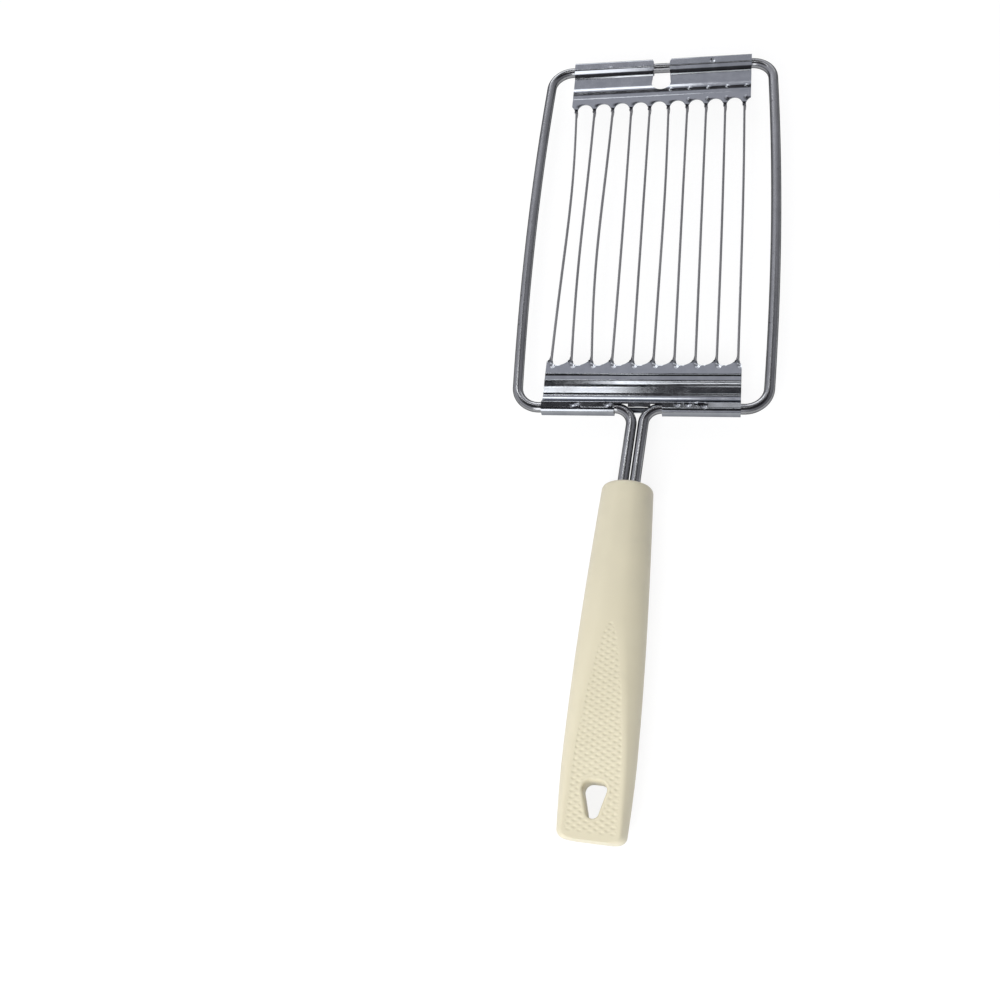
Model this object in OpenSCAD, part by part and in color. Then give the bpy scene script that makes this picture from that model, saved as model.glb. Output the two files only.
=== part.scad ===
// Tomato slicer: a bent wire frame carrying ten upright blades between two rolled rails,
// with a moulded handle on the ends of the wire.
// Sizes in mm. X runs across the blades, Y from the handle end to the far rail, Z up off the table.

/* [Frame wire] */
// Diameter of the frame wire
wire_d = 3.2; // [2.6:0.1:4.4]
// Distance from the bottom bar to the top bar, centre to centre
frame_h = 134; // [110:1:180]
// Outward bow of each side wire at its middle
side_bow = 1.4; // [0.2:0.1:4]
// Bend radius of the four corners, to the wire centre
corner_r = 7.2; // [5:0.1:12]
// Bend radius where the wire turns down into the neck
neck_r = 5.4; // [4:0.1:9]
// Distance from the bottom bar to the mouth of the handle
neck_len = 26.5; // [18:0.1:45]
// Gap between the two legs of the neck
leg_gap = 0.3; // [0.1:0.05:1]
// Length of the legs inside the handle
leg_grip = 42; // [25:1:60]
// Lean of the neck to the left, in the plane of the frame
neck_lean = 4; // [-5:0.1:5]

/* [Rails] */
// Thickness of the rail sheet
sheet_t = 0.5; // [0.4:0.05:0.8]
// Play between the rolled hem and the wire
hem_play = 0.15; // [0.05:0.05:0.4]
// Room left behind the wire in the upper hem
upper_room = 0.3; // [0:0.05:0.8]
// Room left behind the wire in the lower hem
lower_room = 0; // [0:0.05:0.8]
// Bend radius of the front corners of the hem, to the middle of the sheet
hem_corner = 0.7; // [0.5:0.05:1.2]
// Bend radius where the hem curls under the wire, to the middle of the sheet
hem_curl = 1.6; // [0.5:0.05:1.8]
// Fall of the flat front of the hem towards its back
hem_tilt = 6; // [0:1:15]
// Slope of the sheet from the front of the hem down to the plate
hem_slope = 50; // [40:1:65]
// Bend radius at the foot of that slope, to the middle of the sheet
hem_fillet = 3.5; // [1:0.1:4]
// Reach of the free edge of the hem behind the plate, past the bar
hem_tail = 1.2; // [0.4:0.1:2]
// Distance from the bar to the start of the bead
plate_w = 7.3; // [5:0.1:12]
// Width of the stiffening bead
bead_w = 4.7; // [3:0.1:7]
// Height of the stiffening bead
bead_h = 0.32; // [0.2:0.02:1]
// Width of the flat lip, from the bead to the crown of the scallops
lip_w = 2.4; // [1.5:0.1:5]
// Height of the tabs between the scallops
tab_h = 2.4; // [1:0.1:2.5]
// Radius of the scallops, as a share of the blade pitch
scallop_share = 0.4; // [0.3:0.01:0.42]
// Distance that the straight bars run past the outer blades
bar_over = 2.2; // [1.8:0.1:6]
// Distance that the upper rail runs past the outer blades
upper_over = 1.8; // [1.1:0.1:3]
// Distance that the lower rail runs past the outer blades
lower_over = 1.2; // [1.1:0.1:3]
// Offset of the upper rail along its bar
upper_slip = 0.35; // [-0.5:0.05:0.5]
// Width of the notch in the upper hem, at the wire
notch_w = 5.5; // [4:0.1:9]
// Width of the hole in the upper plate
hole_w = 6.5; // [4:0.1:9]
// Distance from the top bar to the far end of the hole
hole_reach = 9.8; // [7:0.1:12]
// Offset of notch and hole along the upper rail
hole_slip = 0.3; // [-1:0.05:1]
// Radius of the punch that stakes the hems to the wire
stake_r = 1.3; // [0.8:0.1:2]
// Depth of the stakes
stake_depth = 0.3; // [0.1:0.05:0.4]
// Places of the stakes along the upper rail
upper_stakes = [-17.5, 17.5]; // [-28:0.5:28]
// Places of the stakes along the lower rail
lower_stakes = [-20, -9.6, 14.4, 19]; // [-28:0.1:28]

/* [Blades] */
// Slice thickness: the pitch of the ten blades
blade_pitch = 6.35; // [5:0.05:9]
// Thickness of a blade
blade_t = 0.45; // [0.3:0.05:0.7]
// Depth of a blade, from its cutting edge to its back
blade_d = 2.4; // [1.8:0.1:3.4]
// Width of the flat foot at each end of a blade
foot_w = 1.1; // [0.8:0.05:1.4]
// Length over which a blade turns from its flat foot to upright
twist_len = 2.4; // [1.8:0.1:5]
// Depth of the ground bevel on the cutting edge
grind_d = 0.7; // [0.3:0.05:1.2]
// Width left on the cutting edge
edge_t = 0.12; // [0.05:0.01:0.3]
// Radius of the button that fixes each foot to its tab
button_r = 0.5; // [0.3:0.05:0.7]
// Play between button and tab hole
button_play = 0.05; // [0.02:0.01:0.15]
// Gap between a foot and the back of its tab
lap_gap = 0.02; // [0.01:0.01:0.1]
// Sideways bow of each blade at mid length, left to right
blade_bow = [1, -0.5, -1.15, 0.2, 0, 0.45, 0, 0, 0.2, 0.3]; // [-2:0.05:2]
// Sideways sway of each blade, right near the top and left near the bottom
blade_sway = [0.3, 0.2, 0.3, 0, 0, 0.1, 0, 0, 0, 0.05]; // [-1:0.05:1]

/* [Handle] */
// Length of the handle
handle_len = 99.7; // [80:0.1:140]
// Lean of the handle to the left, in the plane of the frame
handle_lean = 2; // [-5:0.1:5]
// Width at the mouth
mouth_w = 14.9; // [13:0.1:24]
// Greatest width
belly_w = 19.9; // [16:0.1:30]
// Width at the heel
heel_w = 18.2; // [14:0.1:30]
// Place of the greatest width, as a share of the length
belly_at = 0.77; // [0.5:0.01:0.9]
// Thickness of the round part
handle_t = 14.4; // [11:0.1:20]
// Thickness of the heel between the two flats
heel_t = 8; // [5:0.1:11]
// Start of the flats, as a share of the length
flat_from = 0.414; // [0.2:0.002:0.7]
// Squareness of the section: 2 is an ellipse
section_power = 2.1; // [2:0.1:3.5]
// Rounding of the mouth
mouth_r = 1.5; // [0.8:0.1:4]
// Rounding of the heel corners
heel_r = 2.2; // [1.5:0.1:5]
// Width of the hang hole at its wide end
hang_w = 6.5; // [5:0.1:9]
// Radius of the two corners at its wide end
hang_r = 2.3; // [1:0.1:2.5]
// Radius of the hang hole at its narrow end
hang_tip_r = 1.7; // [1:0.1:2.5]
// Distance between the two ends of the hang hole, corner centre to tip centre
hang_len = 5.6; // [2:0.1:8]
// Distance from the hang hole to the heel
hang_edge = 5.4; // [4:0.1:12]
// Play between the legs and their sockets
socket_play = 0.05; // [0.02:0.01:0.2]

/* [Hidden] */
$fn = 64;
eps = 0.01;

blades = 10;
span = (blades - 1) * blade_pitch;
wire_r = wire_d / 2;

// Rails
hem_r = wire_r + hem_play + sheet_t / 2;
hem_out_r = hem_r + sheet_t / 2;
front_a = 90 + hem_tilt;
slope_a = 90 - hem_slope;
corner_d = hem_r - hem_corner;
curl_d = hem_r - hem_curl;
shoulder_a = (front_a + slope_a) / 2;
shoulder_d = corner_d / cos(front_a - shoulder_a);
fillet_u = (hem_r + hem_fillet * (1 - sin(slope_a))) / cos(slope_a);
bead_a = 2 * atan2(2 * bead_h, bead_w);
bead_sum_r = bead_w / 2 / sin(bead_a);
bead_foot_r = 0.38 * bead_sum_r;
bead_top_r = bead_sum_r - bead_foot_r;
crown_u = plate_w + bead_w + lip_w;
tip_u = crown_u + tab_h;
scallop_r = scallop_share * blade_pitch;
button_u = crown_u + 0.6;
cut_h = 4 * hem_out_r;
arc_step = 6;

// Frame
frame_w = span + 2 * (bar_over + corner_r);
side_a = 2 * atan2(2 * side_bow, frame_h - 2 * corner_r);
side_r = (frame_h - 2 * corner_r * (1 - sin(side_a))) / (2 * sin(side_a));
bar_half = frame_w / 2 - corner_r * cos(side_a);
side_x = frame_w / 2 - side_r * cos(side_a);
leg_pitch = wire_d + leg_gap;
wire_points = 20;
bend_steps = 11;

// Blades
foot_len = 3.1;
foot_edge = 0.8 * blade_t;
axis_w = -sheet_t / 2 - lap_gap - blade_t / 2;
blade_y0 = tip_u - foot_len;
blade_y1 = frame_h - blade_y0;
twist_y0 = tip_u + lap_gap;
twist_y1 = frame_h - twist_y0;
twist_steps = 8;
span_steps = 26;

// Handle
flat_a = atan2((handle_t - heel_t) / 2, (1 - flat_from) * handle_len);
hang_y = -(handle_len - hang_edge - hang_tip_r - hang_len);
ring_points = 44;
round_steps = 5;
body_steps = 14;

// The object lies on its handle, centred over the origin
mouth_at = [-neck_len * sin(neck_lean), -neck_len * cos(neck_lean), 0];
heel_y = mouth_at[1] - (handle_len - heel_r) * cos(handle_lean)
    - (heel_w / 2 - heel_r) * sin(abs(handle_lean)) - heel_r;
shift = [0, -(frame_h + hem_out_r + upper_room + heel_y) / 2, handle_t / 2];

function blade_x(i) = (i - (blades - 1) / 2) * blade_pitch;

// Triangles of a tube of rings with n points each, closed at both ends
function tube_faces(rings, n) = concat(
    [for (r = [0 : rings - 2], k = [0 : n - 1]) let (m = (k + 1) % n)
        [r * n + k, (r + 1) * n + k, r * n + m]],
    [for (r = [0 : rings - 2], k = [0 : n - 1]) let (m = (k + 1) % n)
        [r * n + m, (r + 1) * n + k, (r + 1) * n + m]],
    [[for (k = [0 : n - 1]) k]],
    [[for (k = [n - 1 : -1 : 0]) (rings - 1) * n + k]]
);
function backwards(list) = [for (k = [len(list) - 1 : -1 : 0]) list[k]];

// Wire path: stations of x, y and the direction of the outer side of the wire
function bend(x, y, r, a0, a1, first, turn) =
    [for (k = [first : bend_steps]) let (a = a0 + (a1 - a0) * k / bend_steps)
        [x + r * cos(a), y + r * sin(a), a + turn]];
function leg(neck, lean, reach) = [
    leg_pitch / 2 * cos(lean) - neck_len * sin(neck) - reach * sin(lean),
    -leg_pitch / 2 * sin(lean) - neck_len * cos(neck) - reach * cos(lean),
    -lean
];
function bend_x(neck) = (leg_pitch / 2 + neck_r * (1 - sin(neck))) / cos(neck);
function half_path(neck, lean) =
    concat(
        bend(bar_half, frame_h - corner_r, corner_r, 90, side_a, 0, 0),
        bend(side_x, frame_h / 2, side_r, side_a, -side_a, 1, 0),
        bend(bar_half, corner_r, corner_r, -side_a, -90, 1, 0),
        bend(bend_x(neck), -neck_r, neck_r, 90, 180 - neck, 0, 180),
        [leg(neck, lean, 0), leg(neck, lean, leg_grip)]
    );
function mirrored(path) = [for (s = path) [-s[0], s[1], 180 - s[2]]];
function wire_ring(s) =
    [for (k = [0 : wire_points - 1]) let (a = 360 * k / wire_points)
        [s[0] + wire_r * cos(a) * cos(s[2]), s[1] + wire_r * cos(a) * sin(s[2]), wire_r * sin(a)]];

module frame_wire() {
    path = concat(
        backwards(mirrored(half_path(-neck_lean, -handle_lean))),
        half_path(neck_lean, handle_lean)
    );
    color("silver") translate(shift) polyhedron(
        points = [for (s = path, p = wire_ring(s)) p],
        faces = tube_faces(len(path), wire_points),
        convexity = 6
    );
}

// Rail section: arcs of u, w, radius, side of the front, first and last angle,
// and the points that an arc shares with the one before it.
// U runs from the bar towards the blades, W towards the front.
function front_w(u) = (corner_d - u * cos(front_a)) / sin(front_a);
function rail_arcs(room) = [
    [-curl_d - room, -curl_d, hem_curl, 1, 270, 180, 0],
    [-corner_d - room, front_w(-corner_d - room), hem_corner, 1, 180, front_a, 0],
    [shoulder_d * cos(shoulder_a), shoulder_d * sin(shoulder_a), hem_corner, 1, front_a, slope_a, 0],
    [fillet_u, hem_fillet, hem_fillet, -1, 180 + slope_a, 270, 0],
    [plate_w, bead_foot_r, bead_foot_r, -1, 270, 270 + bead_a, 0],
    [plate_w + bead_w / 2, bead_h - bead_top_r, bead_top_r, 1, 90 + bead_a, 90 - bead_a, 1],
    [plate_w + bead_w, bead_foot_r, bead_foot_r, -1, 270 - bead_a, 270, 1]
];
function arc_points(arc, face) =
    let (
        n = ceil(abs(arc[5] - arc[4]) / arc_step),
        r = arc[2] + face * arc[3] * sheet_t / 2
    )
    [for (k = [arc[6] : n]) let (a = arc[4] + (arc[5] - arc[4]) * k / n)
        [arc[0] + r * cos(a), arc[1] + r * sin(a)]];
function rail_side(room, face) = [for (arc = rail_arcs(room), p = arc_points(arc, face)) p];

module rail_section(room) {
    polygon(concat(
        [[hem_tail, -hem_r + sheet_t / 2], [hem_tail, -hem_r - sheet_t / 2]],
        rail_side(room, 1),
        [[tip_u, sheet_t / 2], [tip_u, -sheet_t / 2]],
        backwards(rail_side(room, -1))
    ));
}

// A rail on the bottom bar: blades run off towards +Y
module rail(room, over, slip, stakes) {
    difference() {
        translate([slip, 0, 0]) rotate([90, 0, 90])
            linear_extrude(span + 2 * over, center = true) rail_section(room);
        for (i = [-1 : blades - 1])
            translate([blade_x(i) + blade_pitch / 2, crown_u + scallop_r, 0])
                cylinder(r = scallop_r, h = cut_h, center = true);
        for (i = [0 : blades - 1])
            translate([blade_x(i), button_u, 0])
                cylinder(r = button_r + button_play, h = cut_h, center = true);
        for (x = stakes)
            translate([x, 0, hem_out_r + stake_r - stake_depth]) sphere(r = stake_r);
    }
}

// Notch that bares the wire, with flared corners, and the hole below it
module upper_cut() {
    flare = 0.8;
    far_y = -hem_out_r - upper_room - eps;
    hole_y = hole_reach - hole_w / 2;
    translate([hole_slip, 0, 0]) linear_extrude(cut_h, center = true) {
        polygon([
            [-notch_w / 2 - flare, far_y], [notch_w / 2 + flare, far_y],
            [notch_w / 2, -wire_r / 2], [notch_w / 2, wire_r],
            [-notch_w / 2, wire_r], [-notch_w / 2, -wire_r / 2]
        ]);
        polygon([
            [-notch_w / 2, wire_r - eps], [notch_w / 2, wire_r - eps],
            [hole_w / 2, hole_y], [-hole_w / 2, hole_y]
        ]);
        translate([0, hole_y]) circle(d = hole_w);
    }
}

module upper_rail() {
    color("gainsboro") translate(shift) translate([0, frame_h, 0]) mirror([0, 1, 0]) difference() {
        rail(upper_room, upper_over, upper_slip, upper_stakes);
        upper_cut();
    }
}

// Opening for the two legs: the outer wall goes, and the front wall over each bend
module lower_cut() {
    left_x = bend_x(-neck_lean);
    right_x = bend_x(neck_lean);
    inner_x = leg_pitch / 2 + wire_r;
    wall_u = -sqrt(pow(wire_r + hem_play, 2) - pow(wire_r + hem_play / 2, 2));
    far_y = -hem_out_r - lower_room - eps;
    translate([-left_x, far_y, -cut_h / 2])
        cube([left_x + right_x, wall_u - far_y, cut_h]);
    translate([-left_x, far_y, 0])
        cube([left_x - inner_x, -wall_u - far_y, cut_h]);
    translate([inner_x, far_y, 0])
        cube([right_x - inner_x, -wall_u - far_y, cut_h]);
}

module lower_rail() {
    color("gainsboro") translate(shift) difference() {
        rail(lower_room, lower_over, 0, lower_stakes);
        lower_cut();
    }
}

// Blade: a strip swept along Y, flat at its feet and upright between them
function ease(t) = t * t * (3 - 2 * t);
function twist_at(y) =
    y < frame_h / 2
        ? 90 * ease(max(0, min(1, (y - twist_y0) / twist_len)))
        : 90 * ease(max(0, min(1, (twist_y1 - y) / twist_len)));
function sway_at(y, i) =
    let (t = max(0, min(1, (y - twist_y0) / (twist_y1 - twist_y0))))
    blade_bow[i] * sin(180 * t) - blade_sway[i] * sin(360 * t);
function blade_section(y) =
    let (
        s = twist_at(y) / 90,
        edge = foot_edge + (edge_t - foot_edge) * s,
        heel = (foot_w + (blade_d - foot_w) * s * s) / 2,
        bevel = 2 * heel * grind_d / blade_d - heel
    ) [
        [-heel, edge / 2], [bevel, blade_t / 2], [heel, blade_t / 2],
        [heel, -blade_t / 2], [bevel, -blade_t / 2], [-heel, -edge / 2]
    ];
function blade_stations() = concat(
    [blade_y0],
    [for (k = [0 : twist_steps]) twist_y0 + twist_len * k / twist_steps],
    [for (k = [1 : span_steps - 1])
        twist_y0 + twist_len + (twist_y1 - twist_y0 - 2 * twist_len) * k / span_steps],
    [for (k = [twist_steps : -1 : 0]) twist_y1 - twist_len * k / twist_steps],
    [blade_y1]
);
function blade_ring(y, i) =
    let (a = twist_at(y), x = blade_x(i) + sway_at(y, i))
    [for (p = blade_section(y))
        [x + p[0] * cos(a) + p[1] * sin(a), y, axis_w - p[0] * sin(a) + p[1] * cos(a)]];

module blade(i) {
    stations = blade_stations();
    button_h = lap_gap + sheet_t + 0.15;
    color("gainsboro") translate(shift) {
        polyhedron(
            points = [for (y = stations, p = blade_ring(y, i)) p],
            faces = tube_faces(len(stations), 6),
            convexity = 4
        );
        for (y = [button_u, frame_h - button_u])
            translate([blade_x(i), y, axis_w]) cylinder(r = button_r, h = blade_t / 2 + button_h);
    }
}

module blade_01() blade(0);
module blade_02() blade(1);
module blade_03() blade(2);
module blade_04() blade(3);
module blade_05() blade(4);
module blade_06() blade(5);
module blade_07() blade(6);
module blade_08() blade(7);
module blade_09() blade(8);
module blade_10() blade(9);

// Handle: oval rings from the mouth to the heel
function body_w(v) =
    let (t = v / handle_len)
    t < belly_at
        ? mouth_w + (belly_w - mouth_w) * sin(90 * t / belly_at)
        : belly_w - (belly_w - heel_w) * (1 - cos(90 * (t - belly_at) / (1 - belly_at)));
function rounding(d, r) = d >= r ? 0 : r - sqrt(r * r - (r - d) * (r - d));
function body_inset(v) = rounding(v, mouth_r) + rounding(handle_len - v, heel_r);
function body_stations() = concat(
    [for (k = [0 : round_steps]) mouth_r * (1 - cos(90 * k / round_steps))],
    [for (k = [1 : body_steps - 1]) mouth_r + (handle_len - mouth_r - heel_r) * k / body_steps],
    [for (k = [0 : round_steps]) handle_len - heel_r * (1 - sin(90 * k / round_steps))]
);
function power(c) = sign(c) * pow(abs(c), 2 / section_power);
function body_ring(v) =
    let (half_w = body_w(v) / 2 - body_inset(v), half_t = handle_t / 2 - body_inset(v))
    [for (k = [0 : ring_points - 1]) let (a = 360 * k / ring_points)
        [half_w * power(cos(a)), -v, half_t * power(sin(a))]];

module handle_body() {
    stations = body_stations();
    polyhedron(
        points = [for (v = stations, p = body_ring(v)) p],
        faces = tube_faces(len(stations), ring_points),
        convexity = 4
    );
}

// Everything in front of the front flat
module flat_cut() {
    reach = 2 * handle_len;
    translate([0, -flat_from * handle_len, handle_t / 2]) rotate([flat_a, 0, 0])
        translate([-belly_w, -reach, 0]) cube([2 * belly_w, reach, handle_t]);
}

// Hang hole: egg-shaped, narrow towards the heel
module hang_hole() {
    translate([0, hang_y, 0]) linear_extrude(2 * handle_t, center = true) hull() {
        for (side = [-1, 1]) translate([side * (hang_w / 2 - hang_r), 0]) circle(hang_r);
        translate([0, -hang_len]) circle(hang_tip_r);
    }
}

module leg_sockets() {
    for (side = [-1, 1])
        translate([side * leg_pitch / 2, eps, 0]) rotate([90, 0, 0])
            cylinder(r = wire_r + socket_play, h = leg_grip + socket_play + eps);
}

module handle() {
    color("ivory") translate(shift + mouth_at) rotate([0, 0, -handle_lean]) difference() {
        handle_body();
        flat_cut();
        mirror([0, 0, 1]) flat_cut();
        hang_hole();
        leg_sockets();
    }
}

frame_wire();
upper_rail();
lower_rail();
blade_01();
blade_02();
blade_03();
blade_04();
blade_05();
blade_06();
blade_07();
blade_08();
blade_09();
blade_10();
handle();
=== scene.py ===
import math

import bmesh
import bpy
import numpy as np
from mathutils import Euler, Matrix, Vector


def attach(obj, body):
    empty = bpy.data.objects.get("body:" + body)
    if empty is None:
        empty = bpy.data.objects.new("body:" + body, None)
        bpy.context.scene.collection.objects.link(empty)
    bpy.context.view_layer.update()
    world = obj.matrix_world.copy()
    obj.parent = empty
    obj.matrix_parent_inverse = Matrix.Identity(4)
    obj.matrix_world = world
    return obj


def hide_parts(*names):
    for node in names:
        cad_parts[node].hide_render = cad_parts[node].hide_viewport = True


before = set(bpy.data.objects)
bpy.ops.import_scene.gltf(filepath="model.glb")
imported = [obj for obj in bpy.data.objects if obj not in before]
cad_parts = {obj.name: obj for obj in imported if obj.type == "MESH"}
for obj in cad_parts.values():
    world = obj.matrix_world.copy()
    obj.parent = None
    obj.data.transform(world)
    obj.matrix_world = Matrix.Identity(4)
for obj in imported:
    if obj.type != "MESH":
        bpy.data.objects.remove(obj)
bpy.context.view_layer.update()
scene = bpy.context.scene
MM = 0.001

# Sizes are in mm and degrees, from the middle of the bottom bar, and most are the CAD model's.
# The rails differ from it by up to 0.9 mm, most at the lower tabs, to reflect as the photo's do.
# On a rail, u runs from the bar towards the blades and w runs up.

# Frame wire
WIRE_R = 1.6
FRAME_H = 134.0
SIDE_BOW = 1.388
CORNER_R = 7.2
BAR_OVER = 2.2
NECK_R = 5.4
NECK_LEN = 26.5
NECK_LEAN = 4.0
LEG_PITCH = 3.5
LEG_GRIP = 42.0
LEG_PLAY = 0.05
WIRE_POINTS = 40
BEND_STEPS, SIDE_STEPS = 24, 40
WIRE_SHARP = 35.0

# Places of the blades
BLADES = 10
PITCH = 6.35
HALF_SPAN = (BLADES - 1) * PITCH / 2

# Hems of the rails
SHEET_T = 0.5
HEM_PLAY = 0.15
HEM_R = WIRE_R + HEM_PLAY + SHEET_T / 2
HEM_OUT_R = HEM_R + SHEET_T / 2
HEM_CURL = 1.6
HEM_SLOPE = 50.0
HEM_TAIL = 1.2
UPPER_ROOM, LOWER_ROOM = 0.3, 0.0
UPPER_HEM = dict(room=UPPER_ROOM, corner=0.7, shoulder_r=0.5, fillet=4.0, tilt=1.0, dip=0.0, crease=17.0)
LOWER_HEM = dict(room=LOWER_ROOM, corner=1.4, shoulder_r=0.08, fillet=3.5, tilt=4.0, dip=8.0, crease=0.0)
CREASE_LAND = 0.055

# Plates and beads of the rails, with the shares of a bead's radius that its foot and its top take
UPPER_PLATE, LOWER_PLATE = 7.1, 6.9
UPPER_BEAD_W, UPPER_BEAD_H = 4.5, 0.19
LOWER_BEAD_W, LOWER_BEAD_H = 2.5, 0.32
UPPER_FOOT_SHARE, UPPER_TOP_SHARE = 0.72, 0.28
LOWER_FOOT_SHARE, LOWER_TOP_SHARE = 0.8, 0.2
LOWER_FAR_SLOPE = 7.0
LIP_RIDGE = 7.0
STEP_U, STEP_W, STEP_D, STEP_WALL = 10.75, 0.9, 0.3, 0.1

# Lips of the rails
# Fall is a lip's slope, skew pulls its scallops to the left, fold turns the right of each tab back
# and lift curls the tab's tip forward. A fold's hinge is to the left of the blade's middle. The fold
# starts a little before the crown of the scallops, and the curl starts after it.
CROWN_U = 14.8
TAB_H = 2.0
TIP_U = CROWN_U + TAB_H
SCALLOP_R = 0.4 * PITCH
UPPER_LIP = dict(fall=2.0, skew=0.0, fold=3.0, lift=0.0)
LOWER_LIP = dict(fall=5.5, skew=0.9, fold=40.0, lift=0.2)
FOLD_LEFT, FOLD_BEFORE, CURL_AFTER = 0.5, 0.2, 0.9
SCALLOP_POINTS, TAB_STEPS, LIP_STEPS = 25, 5, 20

# Ends and openings of the rails
UPPER_OVER, LOWER_OVER, UPPER_SLIP = 1.8, 1.2, 0.35
UPPER_ENDS = (UPPER_SLIP - HALF_SPAN - UPPER_OVER, UPPER_SLIP + HALF_SPAN + UPPER_OVER)
LOWER_ENDS = (-HALF_SPAN - LOWER_OVER, HALF_SPAN + LOWER_OVER)
END_CLEAR = 0.02
NOTCH_W, NOTCH_FLARE = 5.5, 0.8
HOLE_W, HOLE_REACH, HOLE_SLIP = 6.5, 9.8, 0.3
HOLE_POINTS = 25
CUT_CLEAR, CUT_REACH = 0.5, 6.0
PRESS_FLOOR = -0.6
RAIL_SHARP = 40.0

# Blades
BLADE_T = 0.45
BLADE_D = 2.4
FOOT_W = 1.1
FOOT_LEN = 3.1
FOOT_EDGE = 0.8 * BLADE_T
GRIND_D = 0.7
EDGE_T = 0.12
SPINE_SOFT = 0.06
LAP_GAP = 0.02
AXIS_W = -SHEET_T / 2 - LAP_GAP - BLADE_T / 2
LOWER_SINK, UPPER_SINK = 0.3, 0.2
TWIST_LOWER = (CROWN_U, TIP_U + 1.2)
TWIST_UPPER = (TIP_U - 0.6, TIP_U + 2.6)
BLADE_TILT, BLADE_TILT_STEP = 3.0, 1.1
BLADE_BOW = (1, -0.5, -1.15, 0.2, 0, 0.45, 0, 0, 0.2, 0.3)
BLADE_SWAY = (0.3, 0.2, 0.3, 0, 0, 0.1, 0, 0, 0, 0.05)
TWIST_POINTS, SPAN_POINTS = 25, 61
BLADE_SHARP = 28.0

# Handle, where v runs from its mouth to its heel
HANDLE_LEN = 99.7
HANDLE_LEAN = 2.0
MOUTH_W, BELLY_W, HEEL_W = 14.9, 19.9, 18.2
BELLY_AT = 0.77
HANDLE_T, HEEL_T = 14.4, 8.0
FLAT_FROM = 0.414
FLAT_SOFT = 0.5
SECTION_POWER = 2.1
MOUTH_R, HEEL_R = 1.5, 2.2
SEAM_D, SEAM_SPREAD = 0.05, 0.03
SEAM_START, SEAM_END = 3.0, 4.0
PANEL_SIDE, PANEL_END, PANEL_FADE = 0.9, 1.9, 0.35
DIMPLE_W, DIMPLE_LEN, DIMPLE_D, DIMPLE_POWER = 1.43, 1.6, 0.27, 1.1
BODY_STEP, PANEL_STEP = 0.7, 0.2
RING_POINTS, ROUND_POINTS = 300, 10
HANDLE_SHARP = 50.0

# Hang hole in the heel of the handle
HANG_W, HANG_R, HANG_TIP_R, HANG_LEN, HANG_EDGE = 6.5, 2.3, 1.7, 5.6, 5.4
HANG_TOP = HANDLE_LEN - HANG_EDGE - HANG_TIP_R - HANG_LEN
HANG_SIDE = HANG_W / 2 - HANG_R
HANG_SOFT = 0.55
HANG_BORDER, HANG_FADE = 0.7, 0.3
HANG_REACH, MOUTH_REACH = 9.0, 1.0
HANG_SAMPLES, HANG_POINTS = 25, 19

# Where the handle's mouth is, and how far the middle of the bottom bar is from the frame's origin
MOUTH_AT = np.array([
    -NECK_LEN * math.sin(math.radians(NECK_LEAN)), -NECK_LEN * math.cos(math.radians(NECK_LEAN)), 0.0])
HEEL_Y = (
    MOUTH_AT[1] - (HANDLE_LEN - HEEL_R) * math.cos(math.radians(HANDLE_LEAN))
    - (HEEL_W / 2 - HEEL_R) * math.sin(math.radians(HANDLE_LEAN)) - HEEL_R)
SHIFT = np.array([0.0, -(FRAME_H + HEM_OUT_R + UPPER_ROOM + HEEL_Y) / 2, HANDLE_T / 2])

# Floor, light and camera, in metres and degrees, with the lens and the sensor in mm
FLOOR_HALF = 6.0
FLOOR_GLOW, FLOOR_GLOW_SHARE = 1.1, 0.78
CARD_Z = 1.0
CAMERA_AT = (0.026596, -0.15817, 0.294117)
CAMERA_TURN = (23.733, 10.380, 6.216)
CAMERA_LENS, CAMERA_SENSOR = 38.55, 36.0
CAMERA_CLIP = (0.01, 50.0)

# Brightness of the room by height on the far and the near side, how they blend from near to far,
# and the brightness from left to right, each with stops (place, level)
FAR_SKY = [
    (0.0, 0.6), (0.2, 0.75), (0.5, 0.85), (0.73, 0.85),
    (0.785, 1.1), (0.797, 0.9), (0.816, 0.1), (1.0, 0.05)]
NEAR_SKY = [(0.0, 0.5), (0.3, 0.6), (0.45, 0.8), (0.66, 0.75), (0.72, 0.1), (1.0, 0.05)]
NEAR_TO_FAR = [(0.0, 0.0), (0.35, 1.0)]
LEFT_TO_RIGHT = [(0.0, 1.0), (0.3, 1.0), (0.5, 0.9), (0.7, 0.55), (1.0, 0.45)]
SKY_BLUE = 1.04


def ease(t):
    t = np.clip(t, 0.0, 1.0)
    return t * t * (3 - 2 * t)


def blade_x(i):
    return (i - (BLADES - 1) / 2) * PITCH


# Mesh helpers, where a shape is a pair of points in mm and faces


def grid_faces(rows, cols, closed):
    """Quads of a rows x cols grid of points, joined round on itself where it is closed."""
    faces = []
    for r in range(rows - 1):
        for k in range(cols if closed else cols - 1):
            m = (k + 1) % cols
            faces.append((r * cols + k, r * cols + m, (r + 1) * cols + m, (r + 1) * cols + k))
    return faces


def tube(rings):
    """The shape of a closed tube, from an array of rings (stations, points, 3)."""
    rows, cols, _ = rings.shape
    faces = grid_faces(rows, cols, True)
    faces.append(tuple(range(cols))[::-1])
    faces.append(tuple(range((rows - 1) * cols, rows * cols)))
    return rings.reshape(-1, 3), faces


def prism(outline, w0, w1, place):
    """The shape of a prism over (x, y) points, from w0 to w1, with every point sent through place."""
    n = len(outline)
    points = [place(x, y, w) for w in (w0, w1) for x, y in outline]
    faces = [(k, (k + 1) % n, n + (k + 1) % n, n + k) for k in range(n)]
    return points, faces + [tuple(range(n))[::-1], tuple(range(n, 2 * n))]


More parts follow.
